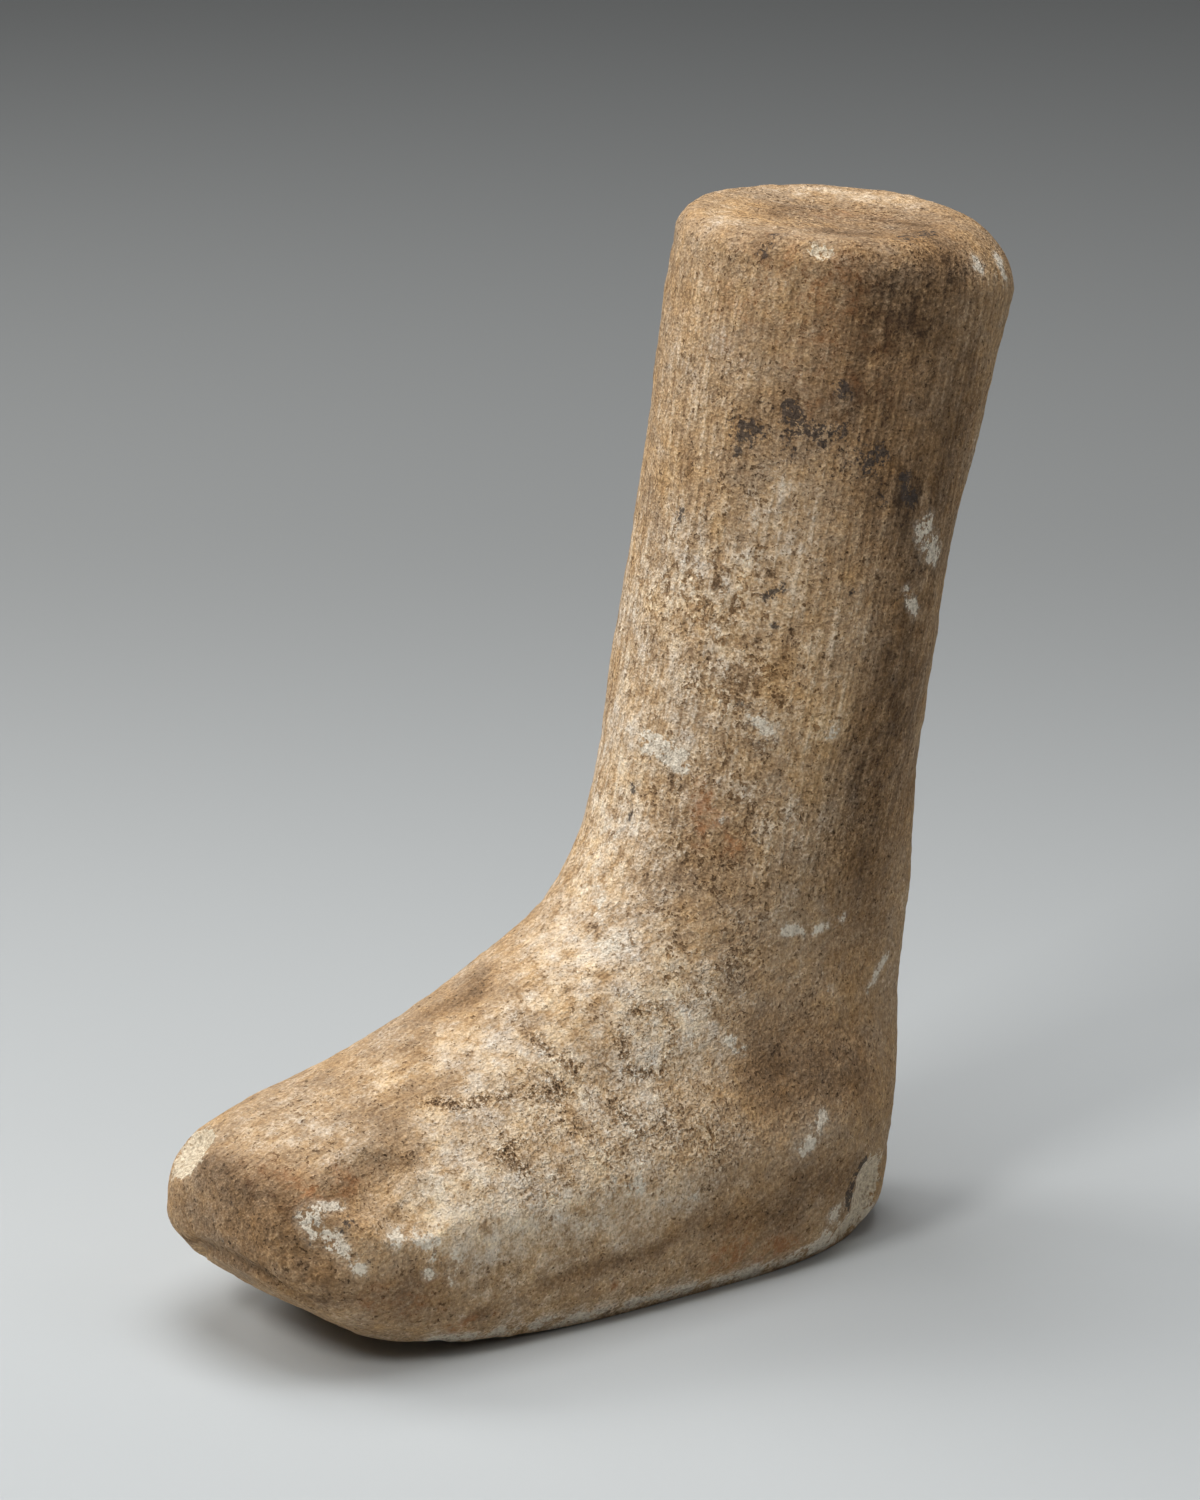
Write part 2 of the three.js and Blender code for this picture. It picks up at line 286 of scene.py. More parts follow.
SOOT = [
    # Top and shaft
    [2.2, 1, (27, 36, 225), (29, 37, 220)],
    [2, 1, (32, 40, 219), (34, 42, 218)],
    [1.9, 1, (36, 47, 227), (35, 46, 230)],
    [2, 0.9, (36, 45, 219)],
    [1.8, 1, (21, 30, 217), (18, 29, 218)],
    [2.4, 1, (39, 52, 210), (40, 55, 212)],
    [2.2, 1, (41, 62, 205), (41, 65, 199)],
    [1.6, 0.9, (41, 56, 200)],
    [1.6, 1, (2, 21, 194)],
    [1.2, 1, (17, 28, 212)],
    [1.2, 1, (40, 47, 178)],
    [10, 0.35, (18, 29, 219), (38, 52, 210)],
    [4, 0.6, (25, 82, 263), (31, 70, 264)],
    [3, 0.6, (17, 40, 266), (17, 36, 263)],
    [1.1, 1.3, (27, 28, 177), (30, 30, 178), (31, 31, 180)],
    [1, 0.8, (29, 29, 170), (32, 30, 170)],
    [0.8, 0.8, (0, 8, 126), (2, 5, 117)],
    # Instep, toe and the crack at the heel
    [1.5, 0.9, (-6, -36, 78)],
    [2.4, 0.8, (33, -106, 41)],
    [1.2, 2.8, (40, 53, 24), (40, 50, 22), (41, 48, 20), (41, 47, 17), (40, 48, 13)],
    # Far side
    [2.4, 0.9, (-40, 66, 214), (-41, 60, 206)],
    [2, 1, (-30, 96, 205), (-24, 100, 200)],
    [1.6, 1, (-38, 80, 196)],
]
PITTED = [
    [24, 0.85, (13, 20, 175), (27, 24, 145), (25, 15, 122)],
    [14, 0.45, (-14, 19, 172)],
    [12, 0.7, (18, 22, 186), (22, 22, 162)],
    [12, 0.4, (20, 28, 208), (36, 48, 220)],
    [15, 0.4, (35, -40, 54), (45, -5, 45)],
    [14, 0.6, (30, -10, 84), (34, 10, 90)],
    [20, 0.7, (0, 75, 264)],
]
GRITTY = [
    # Scratches across the instep
    [2, 2, *LONG_SCRATCH],
    [1.8, 1.8, *CROSS_SCRATCH],
    [1.5, 1.6, (25, -44, 66), (28, -41, 64), (30, -38, 62)],
    [1.5, 1.5, *LOOPED_SCRATCH],
    [1.6, 1.6, *SHORT_SCRATCH],
    [1.8, 1.5, (37, -25, 57), (42, -24, 50), (43, -29, 46)],
    [1.2, 1.3, (37, -62, 50), (36, -56, 52), (37, -48, 53)],
    # Worn ground of the foot, shaft, top and sole edge
    [11, 0.8, (36, -42, 54), (42, -26, 50), (46, -2, 42)],
    [9, 0.5, (38, -62, 48), (43, -50, 40)],
    [16, 0.35, (34, -10, 74), (34, 16, 84)],
    [14, 0.4, (14, 20, 172), (25, 16, 120)],
    [9, 0.5, (34, 28, 114), (35, 50, 115)],
    [10, 0.3, (-12, 18, 150), (-10, 22, 190)],
    [24, 0.5, (0, 70, 265)],
    [3, 0.7, *SOLE_EDGE],
]


def cell_numbers(cells, seed, count):
    """Count pseudo-random numbers from 0 to 1 for each whole-numbered cell of space: its three numbers are
    multiplied by large odd numbers, mixed by shifts and exclusive or, and scaled to one."""
    cells = cells.astype(np.int64).astype(np.uint64)
    key = (cells[..., 0] * 73856093) ^ (cells[..., 1] * 19349663) ^ (cells[..., 2] * 83492791)
    mask = np.uint64(0xFFFFFFFF)
    numbers = []
    for k in range(count):
        mixed = (key + np.uint64((seed * 37 + k) * 668265263)) & mask
        mixed = ((mixed ^ (mixed >> np.uint64(15))) * np.uint64(2246822519)) & mask
        mixed = ((mixed ^ (mixed >> np.uint64(13))) * np.uint64(3266489917)) & mask
        numbers.append((mixed ^ (mixed >> np.uint64(16))) / 0xFFFFFFFF)
    return np.stack(numbers, -1)


def noise(places, size, seed):
    """Gradient noise of the given wavelength, about -1 to 1: at each corner of the cell a random slope times
    the way from that corner, blended across the cell by 6t^5 - 15t^4 + 10t^3."""
    scaled = places / size
    cell = np.floor(scaled)
    part = scaled - cell
    blend = part**3 * (part * (part * 6 - 15) + 10)
    total = 0
    for corner in np.ndindex(2, 2, 2):
        slope = cell_numbers(cell + corner, seed, 3) * 2 - 1
        weight = np.where(corner, blend, 1 - blend).prod(-1)
        total = total + weight * ((part - corner) * slope).sum(-1)
    return total * 1.6


def layered(places, size, seed, layers, keep=0.5):
    """A sum of noises, each half the wavelength and keep times the strength of the one before."""
    return sum(keep**k * noise(places, size / 2**k, seed + k) for k in range(layers))


def pits(places, size, chance, seed):
    """Depth from 0 to 1 of scattered round hollows: a cell of the given size may hold one, at a random place
    and of a random radius, and its depth is 1 - (distance / radius)^2."""
    cell = np.floor(places / size)
    depth = np.zeros(places.shape[:-1])
    for step in np.ndindex(3, 3, 3):
        near = cell + step - 1
        luck = cell_numbers(near, seed, 5)
        radius = size * (0.15 + 0.4 * luck[..., 3] ** 2)
        away = np.linalg.norm(places - (near + luck[..., :3]) * size, axis=-1) / radius
        depth = np.maximum(depth, np.where(luck[..., 4] < chance, 1 - away**2, 0))
    return depth


def along(keys, height):
    """A curve through the keys with no overshoot: cubic pieces whose slopes are weighted harmonic means."""
    place, value = np.array(keys, float).T
    run = np.diff(place)
    rise = np.diff(value) / run
    slope = np.concatenate([rise[:1], np.zeros(len(run) - 1), rise[-1:]])
    before, after = 2 * run[1:] + run[:-1], run[1:] + 2 * run[:-1]
    same = rise[:-1] * rise[1:] > 0
    safe = np.where(rise == 0, 1, rise)
    slope[1:-1] = np.where(same, (before + after) / (before / safe[:-1] + after / safe[1:]), 0)
    height = np.clip(height, place[0], place[-1])
    i = np.clip(np.searchsorted(place, height, side="right") - 1, 0, len(run) - 1)
    t = (height - place[i]) / run[i]
    eased = t * t * (3 - 2 * t)
    bend = t * (1 - t) * run[i]
    return value[i] * (1 - eased) + value[i + 1] * eased + bend * ((1 - t) * slope[i] - t * slope[i + 1])


def outline(height, turn):
    """A point of the smooth form at a height and a turn round the leg, 0 at the back and a quarter turn at
    +X: half width and reach times the sine and cosine, divided by their size in the outline's own power."""
    height, turn = np.broadcast_arrays(height, turn)
    sin, cos = np.sin(turn), np.cos(turn)
    middle = along(WIDEST, height)
    toe = np.where(sin > 0, along(SQUARE_NEAR, height), along(SQUARE_FAR, height))
    power = np.where(cos < 0, toe, along(SQUARE_HEEL, height))
    reach = np.where(cos < 0, middle - along(FRONT, height), along(BACK, height) - middle)
    size = (np.abs(sin) ** power + np.abs(cos) ** power) ** (-1 / power)
    return np.stack([along(HALF_WIDTH, height) * sin * size, middle + reach * cos * size, height], -1)


def even_turns(height, count):
    """Turns that share the outline at one height into equal lengths."""
    turns = np.linspace(0, 2 * np.pi, 1441)
    steps = np.linalg.norm(np.diff(outline(height, turns), axis=0), axis=-1)
    lengths = np.concatenate([[0], np.cumsum(steps)])
    return np.interp(np.arange(count) / count * lengths[-1], lengths, turns)


def even_heights(start, end):
    """Heights whose rows lie one gap apart along the front of the leg, start to just under end."""
    heights = np.linspace(start, end, 2001)
    steps = np.hypot(np.diff(heights), np.diff(along(FRONT, heights)))
    lengths = np.concatenate([[0], np.cumsum(steps)])
    count = int(lengths[-1] / GAP)
    return np.interp(np.arange(count) / count * lengths[-1], lengths, heights)


def sole_rise(y):
    """Height of the sole above the ground: flat, then a parabola toward the toe."""
    return SOLE_RISE * (np.clip(SOLE_START - y, 0, None) / SOLE_RUN) ** 2


def rim_radius(turn):
    """Radius of the top's edge, broader toward the calf."""
    return RIM_RADIUS + RIM_EXTRA * (0.5 + 0.5 * np.cos(turn - RIM_TURN)) ** 2


def top_height(x, y):
    """The plane of the top before it is dished."""
    return HEIGHT + TOP_SLOPE_X * x + TOP_SLOPE_Y * (y - TOP_MIDDLE_Y)


def wall_rings():
    """Rings of the wall: even rows up the foot, then fewer columns up the leg, then rows that close up on the
    start of the rounded edge."""
    rings = []
    for start, end, columns in ((0, FOOT_TOP, FOOT_COLUMNS), (FOOT_TOP, RIM_START, LEG_COLUMNS)):
        for height in even_heights(start, end):
            ring = outline(height, even_turns(height, columns))
            ring[:, 2] += sole_rise(ring[:, 1]) * max(1 - height / SOLE_FADE, 0) ** 2
            rings.append(ring)
    turns = even_turns(HEIGHT, LEG_COLUMNS)
    edge = outline(HEIGHT, turns)
    top = top_height(edge[:, 0], edge[:, 1]) - rim_radius(turns)
    rows = int((HEIGHT - RIM_START - RIM_RADIUS) / GAP)
    for share in np.linspace(0, 1, rows):
        rings.append(outline(RIM_START + (top - RIM_START) * share, turns))
    return rings


def top_rings(wall):
    """The quarter-round edge, then rings that shrink on the middle of the sloping, dished face: level =
    plane + share * what the edge is off it - dish * (1 - share^2). Small rings have fewer points."""
    radius = rim_radius(even_turns(HEIGHT, LEG_COLUMNS))
    middle = np.array([0, TOP_MIDDLE_Y])
    rings = []
    for angle in np.linspace(0, np.pi / 2, 13)[1:]:
        ring = wall.copy()
        away = ring[:, :2] - middle
        inward = radius * (1 - np.cos(angle)) / np.linalg.norm(away, axis=-1)
        ring[:, :2] = middle + away * (1 - inward)[:, None]
        ring[:, 2] += radius * np.sin(angle)
        rings.append(ring)
    edge = rings[-1]
    gap_at_edge = edge[:, 2] - top_height(edge[:, 0], edge[:, 1])
    for share in np.linspace(1, 0.03, 26)[1:]:
        step = 1 if share > 0.5 else 2 if share > 0.2 else 4
        flat = middle + (edge[::step, :2] - middle) * share
        level = top_height(flat[:, 0], flat[:, 1]) + gap_at_edge[::step] * share
        rings.append(np.column_stack([flat, level - TOP_DISH * (1 - share**2)]))
    return rings


def sole_rings(edge):
    """The underside: the sole's edge shrunk on its middle, from the smallest ring out to the edge. Small
    rings have fewer points."""
    rings = []
    for share in (0.04, 0.12, 0.24, 0.4, 0.58, 0.74, 0.86, 0.94, 0.98):
        step = 1 if share > 0.9 else 2 if share > 0.5 else 4 if share > 0.2 else 8
        flat = edge[::step, :2] * share
        flat[:, 1] += SOLE_MIDDLE * (1 - share)
        rings.append(np.column_stack([flat, sole_rise(flat[:, 1])]))
    return rings


def skin_faces(counts):
    """Faces between stacked rings, closed by a point below and one above. Where a ring has half as many
    points as its neighbour, each face has five corners instead of four."""
    starts = 1 + np.concatenate([[0], np.cumsum(counts)])
    faces = []
    first = np.arange(counts[0])
    faces.append(np.stack([0 * first, starts[0] + first, starts[0] + (first + 1) % counts[0]], -1))
    for k, (low, high) in enumerate(zip(counts[:-1], counts[1:])):
        i = np.arange(min(low, high))
        below = [starts[k] + (i * (low // len(i)) + s) % low for s in range(low // len(i) + 1)]
        above = [starts[k + 1] + (i * (high // len(i)) + s) % high for s in range(high // len(i) + 1)]
        faces.append(np.stack(above + below[::-1], -1))
    last = np.arange(counts[-1])
    top = starts[-2]
    faces.append(np.stack([top + (last + 1) % counts[-1], top + last, 0 * last + starts[-1]], -1))
    return faces


def outward(points, faces):
    """Unit normals of the skin: each face's two diagonals crossed, summed at its corners."""
    normal = np.zeros_like(points)
    for group in faces:
        first, second, third, last = points[group[:, [0, 1, 2, -1]]].transpose(1, 0, 2)
        crossed = np.cross(third - first, last - second)
        for corner in group.T:
            np.add.at(normal, corner, crossed)
    return normal / np.linalg.norm(normal, axis=-1, keepdims=True)


def away_from(points, path):
    """Distance of each point from a path of straight stretches: the way to the nearest point of a stretch is
    found by laying the point on it, held between its two ends. A path may be one place alone."""
    path = np.array(path, float)
    ends = path[1:] if len(path) > 1 else path
    away = np.full(len(points), np.inf)
    for start, end in zip(path, ends):
        run = end - start
        share = np.clip((points - start) @ run / max(run @ run, 1e-9), 0, 1)
        away = np.minimum(away, np.linalg.norm(points - start - share[:, None] * run, axis=-1))
    return away


def marked(points, marks):
    """How strongly the marks of one kind lie on each point: the sum of strength times
    exp(-(distance / reach)^2)."""
    return sum(
        strength * np.exp(-((away_from(points, path) / reach) ** 2)) for reach, strength, *path in marks
    )


def cut_groove(points):
    """Sinks the line above the toe's sole, following a height that drops toward both corners."""
    x, y, z = points.T
    level = GROOVE_HEIGHT - GROOVE_DROP * ((x - GROOVE_MIDDLE) / GROOVE_SPAN) ** 4
    across = np.clip(1 - ((z - level) / GROOVE_WIDTH) ** 2, 0, None)
    in_front = np.clip((GROOVE_BACK - y) / GROOVE_FADE, 0, 1)
    points[:, 1] += GROOVE_DEPTH * across * in_front


def roughness_of_break(points):
    """Uneven ground of a break: noise of 11 mm and shorter, each layer 0.8 times as strong as the last."""
    return BREAK_ROUGHNESS * layered(points, 11, 40, 4, 0.8)


def break_corners(points):
    """Takes off what stands outside each break."""
    rough = roughness_of_break(points)
    for at, facing in BREAKS:
        out = np.array(facing) / np.linalg.norm(facing)
        away = points - at
        outside = np.where(np.linalg.norm(away, axis=-1) < BREAK_REACH, away @ out + rough, 0)
        points -= np.clip(outside, 0, None)[:, None] * out


def chip(points):
    """Hollows out each chip as a part of a ball: a point inside the ball is pushed away from the ball's
    middle onto its surface. Gives how deep each point lay inside a fresh chip, below 0 outside them."""
    rough = roughness_of_break(points)
    fresh = np.full(len(points), NOT_FRESH)
    for at, facing, radius, depth, freshly_cut in CHIPS:
        out = np.array(facing) / np.linalg.norm(facing)
        away = points - (np.array(at) + out * (radius - depth))
        distance = np.linalg.norm(away, axis=-1)
        inside = radius - distance - rough
        points += away * (np.clip(inside, 0, None) / distance)[:, None]
        if freshly_cut:
            fresh = np.maximum(fresh, inside)
    return fresh


def wear(points, pitted):
    """Height of the worn skin over the carved form: broad and small swells, hammered-looking hollows, pits
    where the stone has many, streaks left by the tool up the shaft, and a chipped edge along the sole."""
    streaks = noise(points * [1, 1, 0.08], 3.6, 15)
    on_shaft = np.clip((points[:, 2] - 70) / 50, 0, 1)
    near_sole = np.clip(1 - np.abs(points[:, 2] - 3) / 5, 0, 1)
    sides = np.abs(points[:, 0])
    beside = np.column_stack([sides, points[:, 1:]])
    line = np.exp(-((away_from(beside, SIDE_LINE) / SIDE_LINE_WIDTH) ** 2))
    return (
        0.5 * layered(points, 46, 1, 2)
        + 0.28 * layered(points, 14, 5, 3)
        + 0.17 * layered(points, 5, 9, 2, 0.7)
        + 0.08 * streaks * on_shaft
        - pitted * (0.6 * pits(points, 4.6, 0.55, 20) + 0.4 * pits(points, 3, 0.5, 21))
        - 0.9 * near_sole * pits(points, 8, 0.6, 24)
        - SIDE_LINE_DEPTH * line * (0.6 + 0.8 * noise(points, 9, 30))
    )


def stone_leg():
    """The whole stone: form, carving, breaks and wear, with its marks kept as attributes of its points."""
    wall = wall_rings()
    rings = sole_rings(wall[0]) + wall + top_rings(wall[-1])
    peak = top_height(0, TOP_MIDDLE_Y) - TOP_DISH
    points = np.concatenate([[[0, SOLE_MIDDLE, 0]], *rings, [[0, TOP_MIDDLE_Y, peak]]])
    faces = skin_faces([len(ring) for ring in rings])
    cut_groove(points)
    break_corners(points)
    fresh = chip(points)
    pitted = 0.35 + marked(points, PITTED)
    height = wear(points, pitted)
    above_ground = np.clip(points[:, 2] / 1.5, 0, 1)
    skin = points + outward(points, faces) * (height * above_ground)[:, None]
    skin[:, 2] = np.maximum(skin[:, 2], 0)

    mesh = bpy.data.meshes.new("stone_leg_skin")
    mesh.from_pydata((skin * MM).tolist(), [], [face for group in faces for face in group.tolist()])
    mesh.shade_smooth()
    marks = {
        # Tone: pale marks less brown ones, and some of the brown ones are painted shade
        "tone": marked(points, PALE) - marked(points, BROWN_AND_SHADE) + 0.1 * layered(points, 60, 50, 2),
        "crust": marked(points, CRUST),
        "rust": marked(points, RUST),
        "soot": marked(points, SOOT),
        "pitted": pitted,
        "gritty": 0.05 + marked(points, GRITTY) + 0.15 * layered(points, 34, 70, 2),
        "fresh": fresh,
        # How far the worn skin sinks below the carved form, which the material turns into painted shade
        "hollow": -height,
    }
    for name, values in marks.items():
        mesh.attributes.new(name, "FLOAT", "POINT").data.foreach_set("value", values.astype(np.float32))
    stone = bpy.data.objects.new("stone_leg_skin", mesh)
    bpy.context.collection.objects.link(stone)
    return stone


class Wire:
    """An output of a shader node. Sums, differences and products of wires and numbers add Math nodes."""

    def __init__(self, finish, socket):
        self.finish = finish
        self.socket = socket

    def maths(self, operation, first, second):
        """One Math node on two wires or numbers."""
        return self.finish.add("ShaderNodeMath", {"operation": operation}, {0: first, 1: second})

    def __add__(self, other):
        return self.maths("ADD", self, other)

    def __radd__(self, other):
        return self.maths("ADD", other, self)

    def __sub__(self, other):
        return self.maths("SUBTRACT", self, other)

    def __rsub__(self, other):
        return self.maths("SUBTRACT", other, self)

    def __mul__(self, other):
        return self.maths("MULTIPLY", self, other)

    def __rmul__(self, other):
        return self.maths("MULTIPLY", other, self)

    def step(self, low, high):
        """An eased step from 0 at low to 1 at high; with low above high it falls instead."""
        inputs = {"Value": self, "From Min": low, "From Max": high}
        return self.finish.add("ShaderNodeMapRange", {"interpolation_type": "SMOOTHSTEP"}, inputs)


class Finish:
    """A material being wired up."""

    def __init__(self, name, roughness, specular):
        self.material = bpy.data.materials.new(name)
        self.material.use_nodes = True
        self.nodes = self.material.node_tree.nodes
        self.shader = self.nodes["Principled BSDF"]
        self.shader.inputs["Roughness"].default_value = roughness
        self.shader.inputs["Specular IOR Level"].default_value = specular

    def connect(self, socket, value):
        """Links a wire to an input, or sets the input to a value."""
        if isinstance(value, Wire):
            self.material.node_tree.links.new(value.socket, socket)
        else:
            socket.default_value = value

    def add(self, kind, settings, inputs, output=0):
        """A node of one kind: its settings are made first, then the values or wires of its inputs."""
        node = self.nodes.new(kind)
        for name, value in settings.items():
            setattr(node, name, value)
        for name, value in inputs.items():
            self.connect(node.inputs[name], value)
        return Wire(self, node.outputs[output])

    def places(self):
        """Places on the piece, in metres."""
        return self.add("ShaderNodeTexCoord", {}, {}, 3)

    def turned(self, places, angles, size):
        """Places turned back by the angles and then divided by a size along each axis."""
        inputs = {"Vector": places, "Rotation": angles, "Scale": size}
        return self.add("ShaderNodeMapping", {"vector_type": "TEXTURE"}, inputs)

    def cloud(self, places, size, layers=1, keep=0.5):
        """Noise with a spread of about 1 either side of 0: layers of forms, the largest of the given size and
        each next one half as large and keep times as strong, divided by the spread of their sum."""
        strengths = keep ** np.arange(layers)
        spread = NOISE_SPREAD * np.sqrt((strengths**2).sum()) / strengths.sum()
        inputs = {"Vector": places, "Scale": 1 / size, "Detail": layers - 1, "Roughness": keep}
        return (self.add("ShaderNodeTexNoise", {}, inputs) - 0.5) * (1 / spread)

    def mark(self, name):
        """One of the piece's own attributes."""
        return self.add("ShaderNodeAttribute", {"attribute_name": name}, {}, 2)

    def mix(self, factor, first, second, blend="MIX"):
        """From the first colour at 0 to the second at 1, or to the first one blended with the second."""
        inputs = {0: factor, 6: first, 7: second}
        return self.add("ShaderNodeMix", {"data_type": "RGBA", "blend_type": blend}, inputs, 2)

    def ramp(self, factor, stops):
        """A colour for each place between 0 and 1."""
        wire = self.add("ShaderNodeValToRGB", {}, {0: factor})
        elements = wire.socket.node.color_ramp.elements
        for place, colour in stops[1:-1]:
            elements.new(place).color = (*colour, 1)
        elements[0].color = (*stops[0][1], 1)
        elements[-1].color = (*stops[-1][1], 1)
        return wire


# Spread of one layer of the noise node about its middle
NOISE_SPREAD = 0.13

# Colours of the stone from its darkest patina and painted shade to its palest skin
STONE_COLOURS = [
    (0, (0.085, 0.05, 0.027)),
    (0.2, (0.17, 0.104, 0.054)),
    (0.4, (0.31, 0.2, 0.11)),
    (0.6, (0.53, 0.37, 0.22)),
    (0.8, (0.77, 0.62, 0.45)),
    (1, (0.93, 0.81, 0.64)),
]
CRUST_COLOUR = (0.84, 0.76, 0.63, 1)
FRESH_COLOUR = (0.82, 0.72, 0.55, 1)
RUST_COLOUR = (0.42, 0.19, 0.075, 1)
SOOT_COLOUR = (0.07, 0.056, 0.048, 1)
COOL_TINT = (0.93, 1.0, 1.14, 1)
WARM_TINT = (1.08, 0.98, 0.8, 1)
DARK_GRAIN = (0.62, 0.57, 0.52, 1)
LIGHT_GRAIN = (1.4, 1.4, 1.4, 1)
SHAFT_LEAN = 0.2
INSTEP_SLOPE = 0.45
# Paper near the camera, and the darker paper far behind, which is painted shade of the light's falloff
NEAR_PAPER = (0.555, 0.58, 0.59, 1)
FAR_SHADED_PAPER = (0.322, 0.332, 0.334, 1)

# Where the painted shade on the paper starts and ends behind the leg, and how far the floor reaches, in
# metres
PAPER_SHADING = (-0.1, 0.8)
FLOOR_REACH = 12


def limestone():
    """Weathered limestone: a patchy patina over grain and tool streaks, gritty with holes and pale crumbs
    where it is worn through, and lime crust, rust, soot and freshly broken places on it. Holes, pocks and
    sunken places are darkened with painted shade, and the tone mark brings more painted shade up the shaft's
    shaded side and along the groove above the toe."""
    stone = Finish("limestone", 0.92, 0.25)
    places = stone.turned(stone.places(), (0, 0, 0), (MM, MM, MM))
    up_shaft = stone.turned(places, (-SHAFT_LEAN, 0, 0), (1, 1, 14))
    along_foot = stone.turned(places, (INSTEP_SLOPE, 0, 0), (1, 9, 1))
    height = stone.add("ShaderNodeSeparateXYZ", {}, {"Vector": places}, 2)
    on_shaft = height.step(75, 115)
    foot_streaks = stone.cloud(along_foot, 1.5, 2, 0.7) * (1 - on_shaft)
    streaks = stone.cloud(up_shaft, 1.7, 2, 0.7) * on_shaft + foot_streaks
    streaks = streaks * height.step(264, 252)
    patches = stone.cloud(places, 15, 4, 0.9)
    ragged = stone.cloud(places, 6, 5, 0.8)
    lumps = stone.cloud(places, 2.4, 3, 0.8)
    specks = stone.cloud(places, 1.5, 3, 0.8)
    grain = stone.cloud(places, 1, 2, 0.8)
    tint = 0.7 * stone.cloud(places, 5, 5, 0.8) + 0.7 * stone.cloud(places, 22, 3, 0.7)
    gritty = stone.mark("gritty") * (1 + 0.3 * patches)
    pocks = (lumps + stone.mark("pitted") * (1 + 0.5 * patches)).step(2.3, 3)
    holes = (specks + 0.9 * gritty).step(1.8, 2.6)
    crumbs = (stone.cloud(places, 0.9, 2, 0.8) + 1.1 * gritty).step(1.4, 2.2)

    tone = 0.72 + 0.45 * stone.mark("tone") * (1 + 0.3 * ragged) + 0.02 * patches + 0.035 * ragged
    tone = tone + (0.03 + 0.03 * on_shaft) * streaks
    # The darkening of holes and pocks is painted shade in the pits; the bump below sinks them too
    tone = tone + (0.035 + 0.04 * gritty) * grain + 0.15 * crumbs - 0.45 * holes - 0.35 * pocks
    # Painted shade: a little darker where the worn skin sinks below the carved form, lighter where it swells
    tone = tone - 0.1 * stone.mark("hollow")
    colour = stone.ramp(tone * 0.8, STONE_COLOURS)
    tinted = stone.mix(0.5 + 0.17 * tint, COOL_TINT, WARM_TINT)
    colour = stone.mix(1, colour, tinted, "MULTIPLY")
    rusted = (stone.mark("rust") * (1 + 0.7 * ragged)).step(0.05, 1.6)
    colour = stone.mix(rusted * 0.8, colour, RUST_COLOUR)
    limed = stone.mark("crust") * (1 + 0.45 * ragged + 0.1 * grain)
    film = limed.step(0.1, 1.4)
    crust = limed.step(0.75, 1) * (0.88 + 0.1 * grain)
    colour = stone.mix(film * 0.5, colour, CRUST_COLOUR)
    colour = stone.mix(crust * (1 - holes), colour, CRUST_COLOUR)
    freshly = (stone.mark("fresh") + 0.35 * ragged + 0.2 * specks).step(0, 0.5)
    colour = stone.mix(freshly * (0.75 + 0.15 * grain), colour, FRESH_COLOUR)
    sooted = (stone.mark("soot") * (1 + 0.5 * ragged + 0.4 * specks)).step(0.3, 1)
    colour = stone.mix(sooted * 0.85, colour, SOOT_COLOUR)
    shade = stone.mix(0.5 + (0.07 + 0.04 * on_shaft + 0.05 * gritty) * grain, DARK_GRAIN, LIGHT_GRAIN)
    colour = stone.mix(1, colour, shade, "MULTIPLY")

    skin = 0.09 * lumps + (0.045 + 0.04 * gritty) * grain + (0.04 + 0.04 * on_shaft) * streaks
    skin = skin - 0.25 * holes - 0.4 * pocks + 0.08 * crumbs + 0.05 * crust
    bump = stone.add("ShaderNodeBump", {}, {"Height": skin, "Distance": MM})
    stone.connect(stone.shader.inputs["Base Color"], colour)
    stone.connect(stone.shader.inputs["Normal"], bump)
    return stone.material


def pale_floor():
    """Plain pale paper with painted shade: a little darker the further it lies behind the leg."""
    paper = Finish("pale_floor", 0.7, 0.2)
    behind = paper.turned(paper.places(), (0, 0, np.radians(CAMERA_AZIMUTH)), (1, 1, 1))
    distance = paper.add("ShaderNodeSeparateXYZ", {}, {"Vector": behind}, 1)
    colour = paper.mix(distance.step(*PAPER_SHADING), NEAR_PAPER, FAR_SHADED_PAPER)
    paper.connect(paper.shader.inputs["Base Color"], colour)
    return paper.material


def aim(obj, target):
    """Turns a light or camera to look at a point."""
    obj.rotation_euler = (Vector(target) - obj.location).to_track_quat("-Z", "Y").to_euler()


def add_light(name, place, target, size, watts, colour):
    """A square area light of the given side, in metres, that looks at the target."""
    lamp = bpy.data.lights.new(name, "AREA")
    lamp.size = size
    lamp.energy = watts
    lamp.color = colour
    light = bpy.data.objects.new(name, lamp)
    light.location = place
    bpy.context.collection.objects.link(light)
    aim(light, target)


def polar(azimuth, elevation, distance, centre):
    """The place at an azimuth and elevation from a centre; azimuth 0 is -Y and 90 is +X, in degrees."""
    a, e = np.radians([azimuth, elevation])
    return np.array(centre) + distance * np.array([np.sin(a) * np.cos(e), -np.cos(a) * np.cos(e), np.sin(e)])


# The camera looks down on the leg from the toe's +X side
CAMERA_AZIMUTH = 52.65
CAMERA_ELEVATION = 16.2
CAMERA_DISTANCE = 1.7
CAMERA_TARGET = (-0.0038, 0.0001, 0.1345)
CAMERA_LENS = 160.4
CAMERA_SENSOR = 36
CAMERA_REACH = 20
LEG_CENTRE = (0, 0, 0.12)

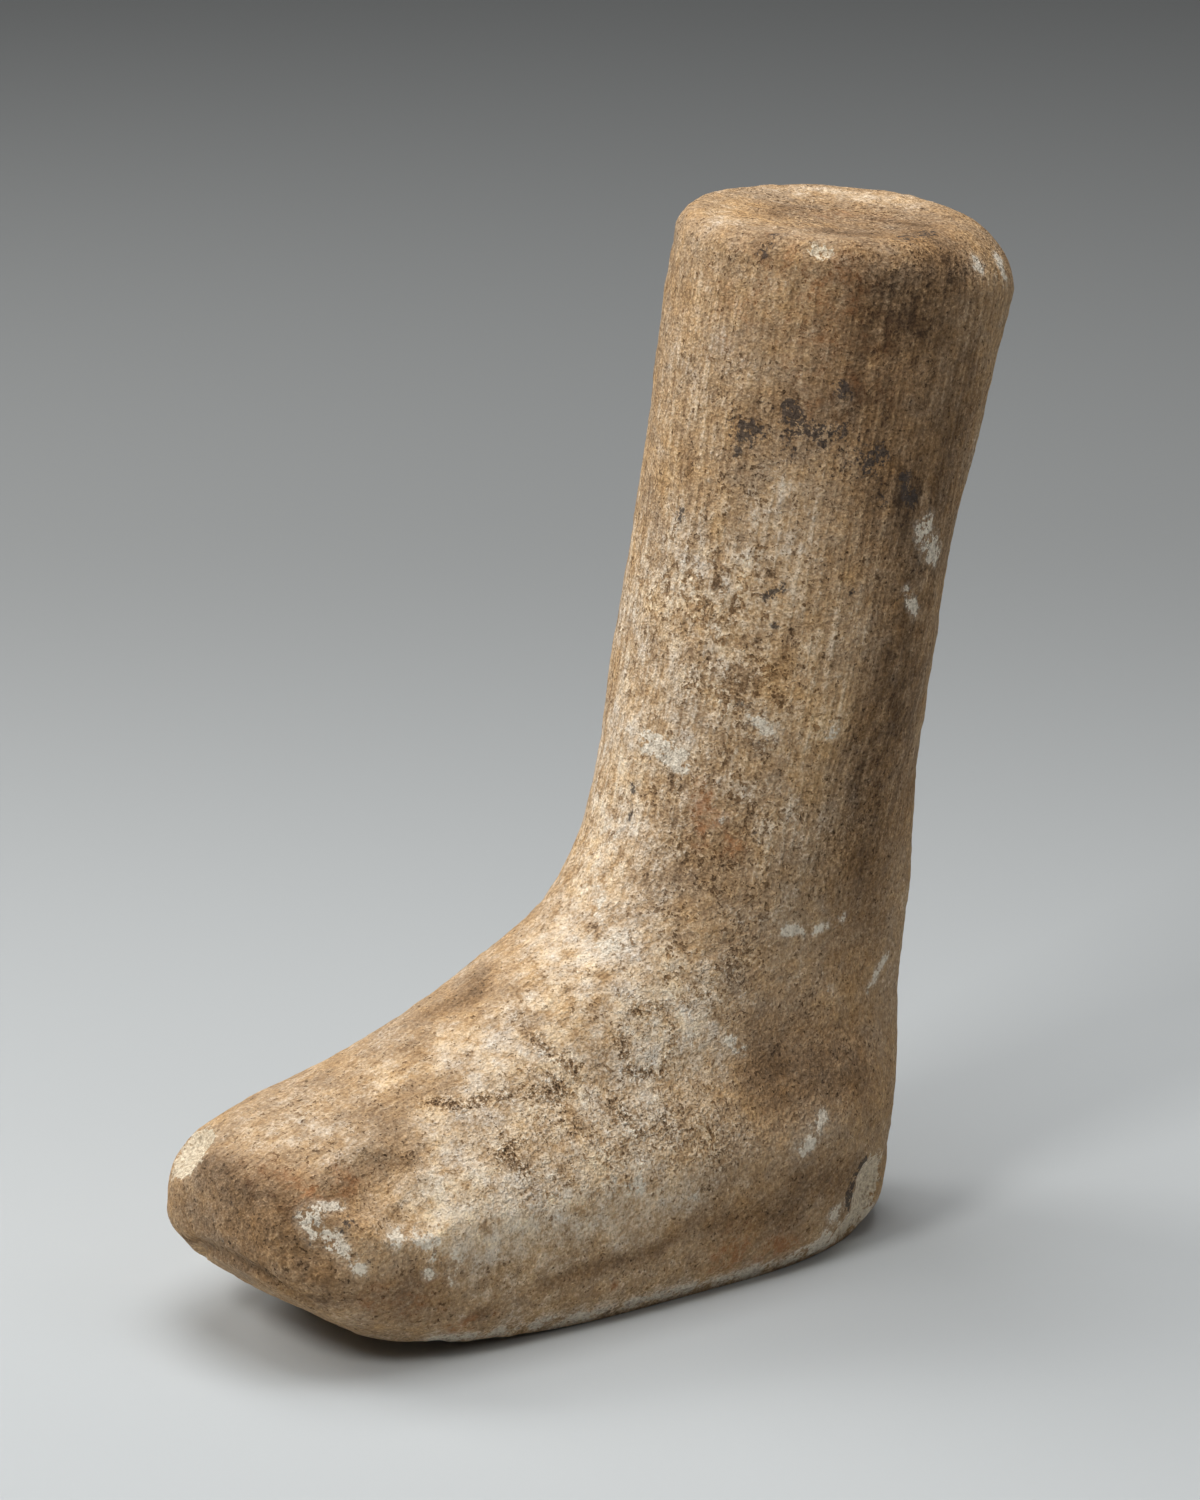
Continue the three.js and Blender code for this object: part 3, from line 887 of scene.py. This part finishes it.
# Lights: name, place, size in metres, watts and colour
WARM_WHITE = (1, 0.99, 0.97)
WHITE = (1, 1, 1)
LIGHTS = [
    ("key", polar(14, 42, 1.8, LEG_CENTRE), 0.4, 10.5, WARM_WHITE),
    ("far_side", polar(-62, 30, 1.8, LEG_CENTRE), 0.8, 14, WARM_WHITE),
    ("far_top", polar(-105, 55, 1.8, LEG_CENTRE), 0.6, 4.5, WHITE),
    ("overhead", (0, 0, 1.7), 1.2, 17, WHITE),
    ("near_side", polar(120, 42, 1.9, LEG_CENTRE), 1, 2.7, WHITE),
]
WORLD_GREY = (0.5, 0.5, 0.5, 1)
WORLD_STRENGTH = 0.1


def add_camera():
    """The photograph's view: a long lens that looks at the middle of the leg."""
    camera = bpy.data.objects.new("camera", bpy.data.cameras.new("camera"))
    bpy.context.collection.objects.link(camera)
    camera.location = polar(CAMERA_AZIMUTH, CAMERA_ELEVATION, CAMERA_DISTANCE, CAMERA_TARGET)
    aim(camera, CAMERA_TARGET)
    camera.data.sensor_width = CAMERA_SENSOR
    camera.data.lens = CAMERA_LENS
    camera.data.clip_end = CAMERA_REACH
    bpy.context.scene.camera = camera


def add_floor():
    """One level floor, wider than any view."""
    mesh = bpy.data.meshes.new("floor")
    corners = [(-FLOOR_REACH, -FLOOR_REACH), (FLOOR_REACH, -FLOOR_REACH)]
    corners += [(FLOOR_REACH, FLOOR_REACH), (-FLOOR_REACH, FLOOR_REACH)]
    mesh.from_pydata([(*corner, 0) for corner in corners], [], [[0, 1, 2, 3]])
    mesh.materials.append(pale_floor())
    floor = bpy.data.objects.new("floor", mesh)
    bpy.context.collection.objects.link(floor)


def add_studio():
    """A key from the front whose shadow falls behind the heel, wide soft lights from the toe's far side and
    overhead, and weak ones from high on the far side and from the heel's near side."""
    for name, place, size, watts, colour in LIGHTS:
        add_light(name, place, LEG_CENTRE, size, watts, colour)
    world = bpy.data.worlds.new("studio")
    bpy.context.scene.world = world
    world.use_nodes = True
    background = world.node_tree.nodes["Background"]
    background.inputs["Color"].default_value = WORLD_GREY
    background.inputs["Strength"].default_value = WORLD_STRENGTH
    bpy.context.scene.view_settings.view_transform = "Standard"


add_camera()
add_floor()
add_studio()

leg = stone_leg()
leg.data.materials.append(limestone())
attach(leg, "root")
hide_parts("stone_leg")
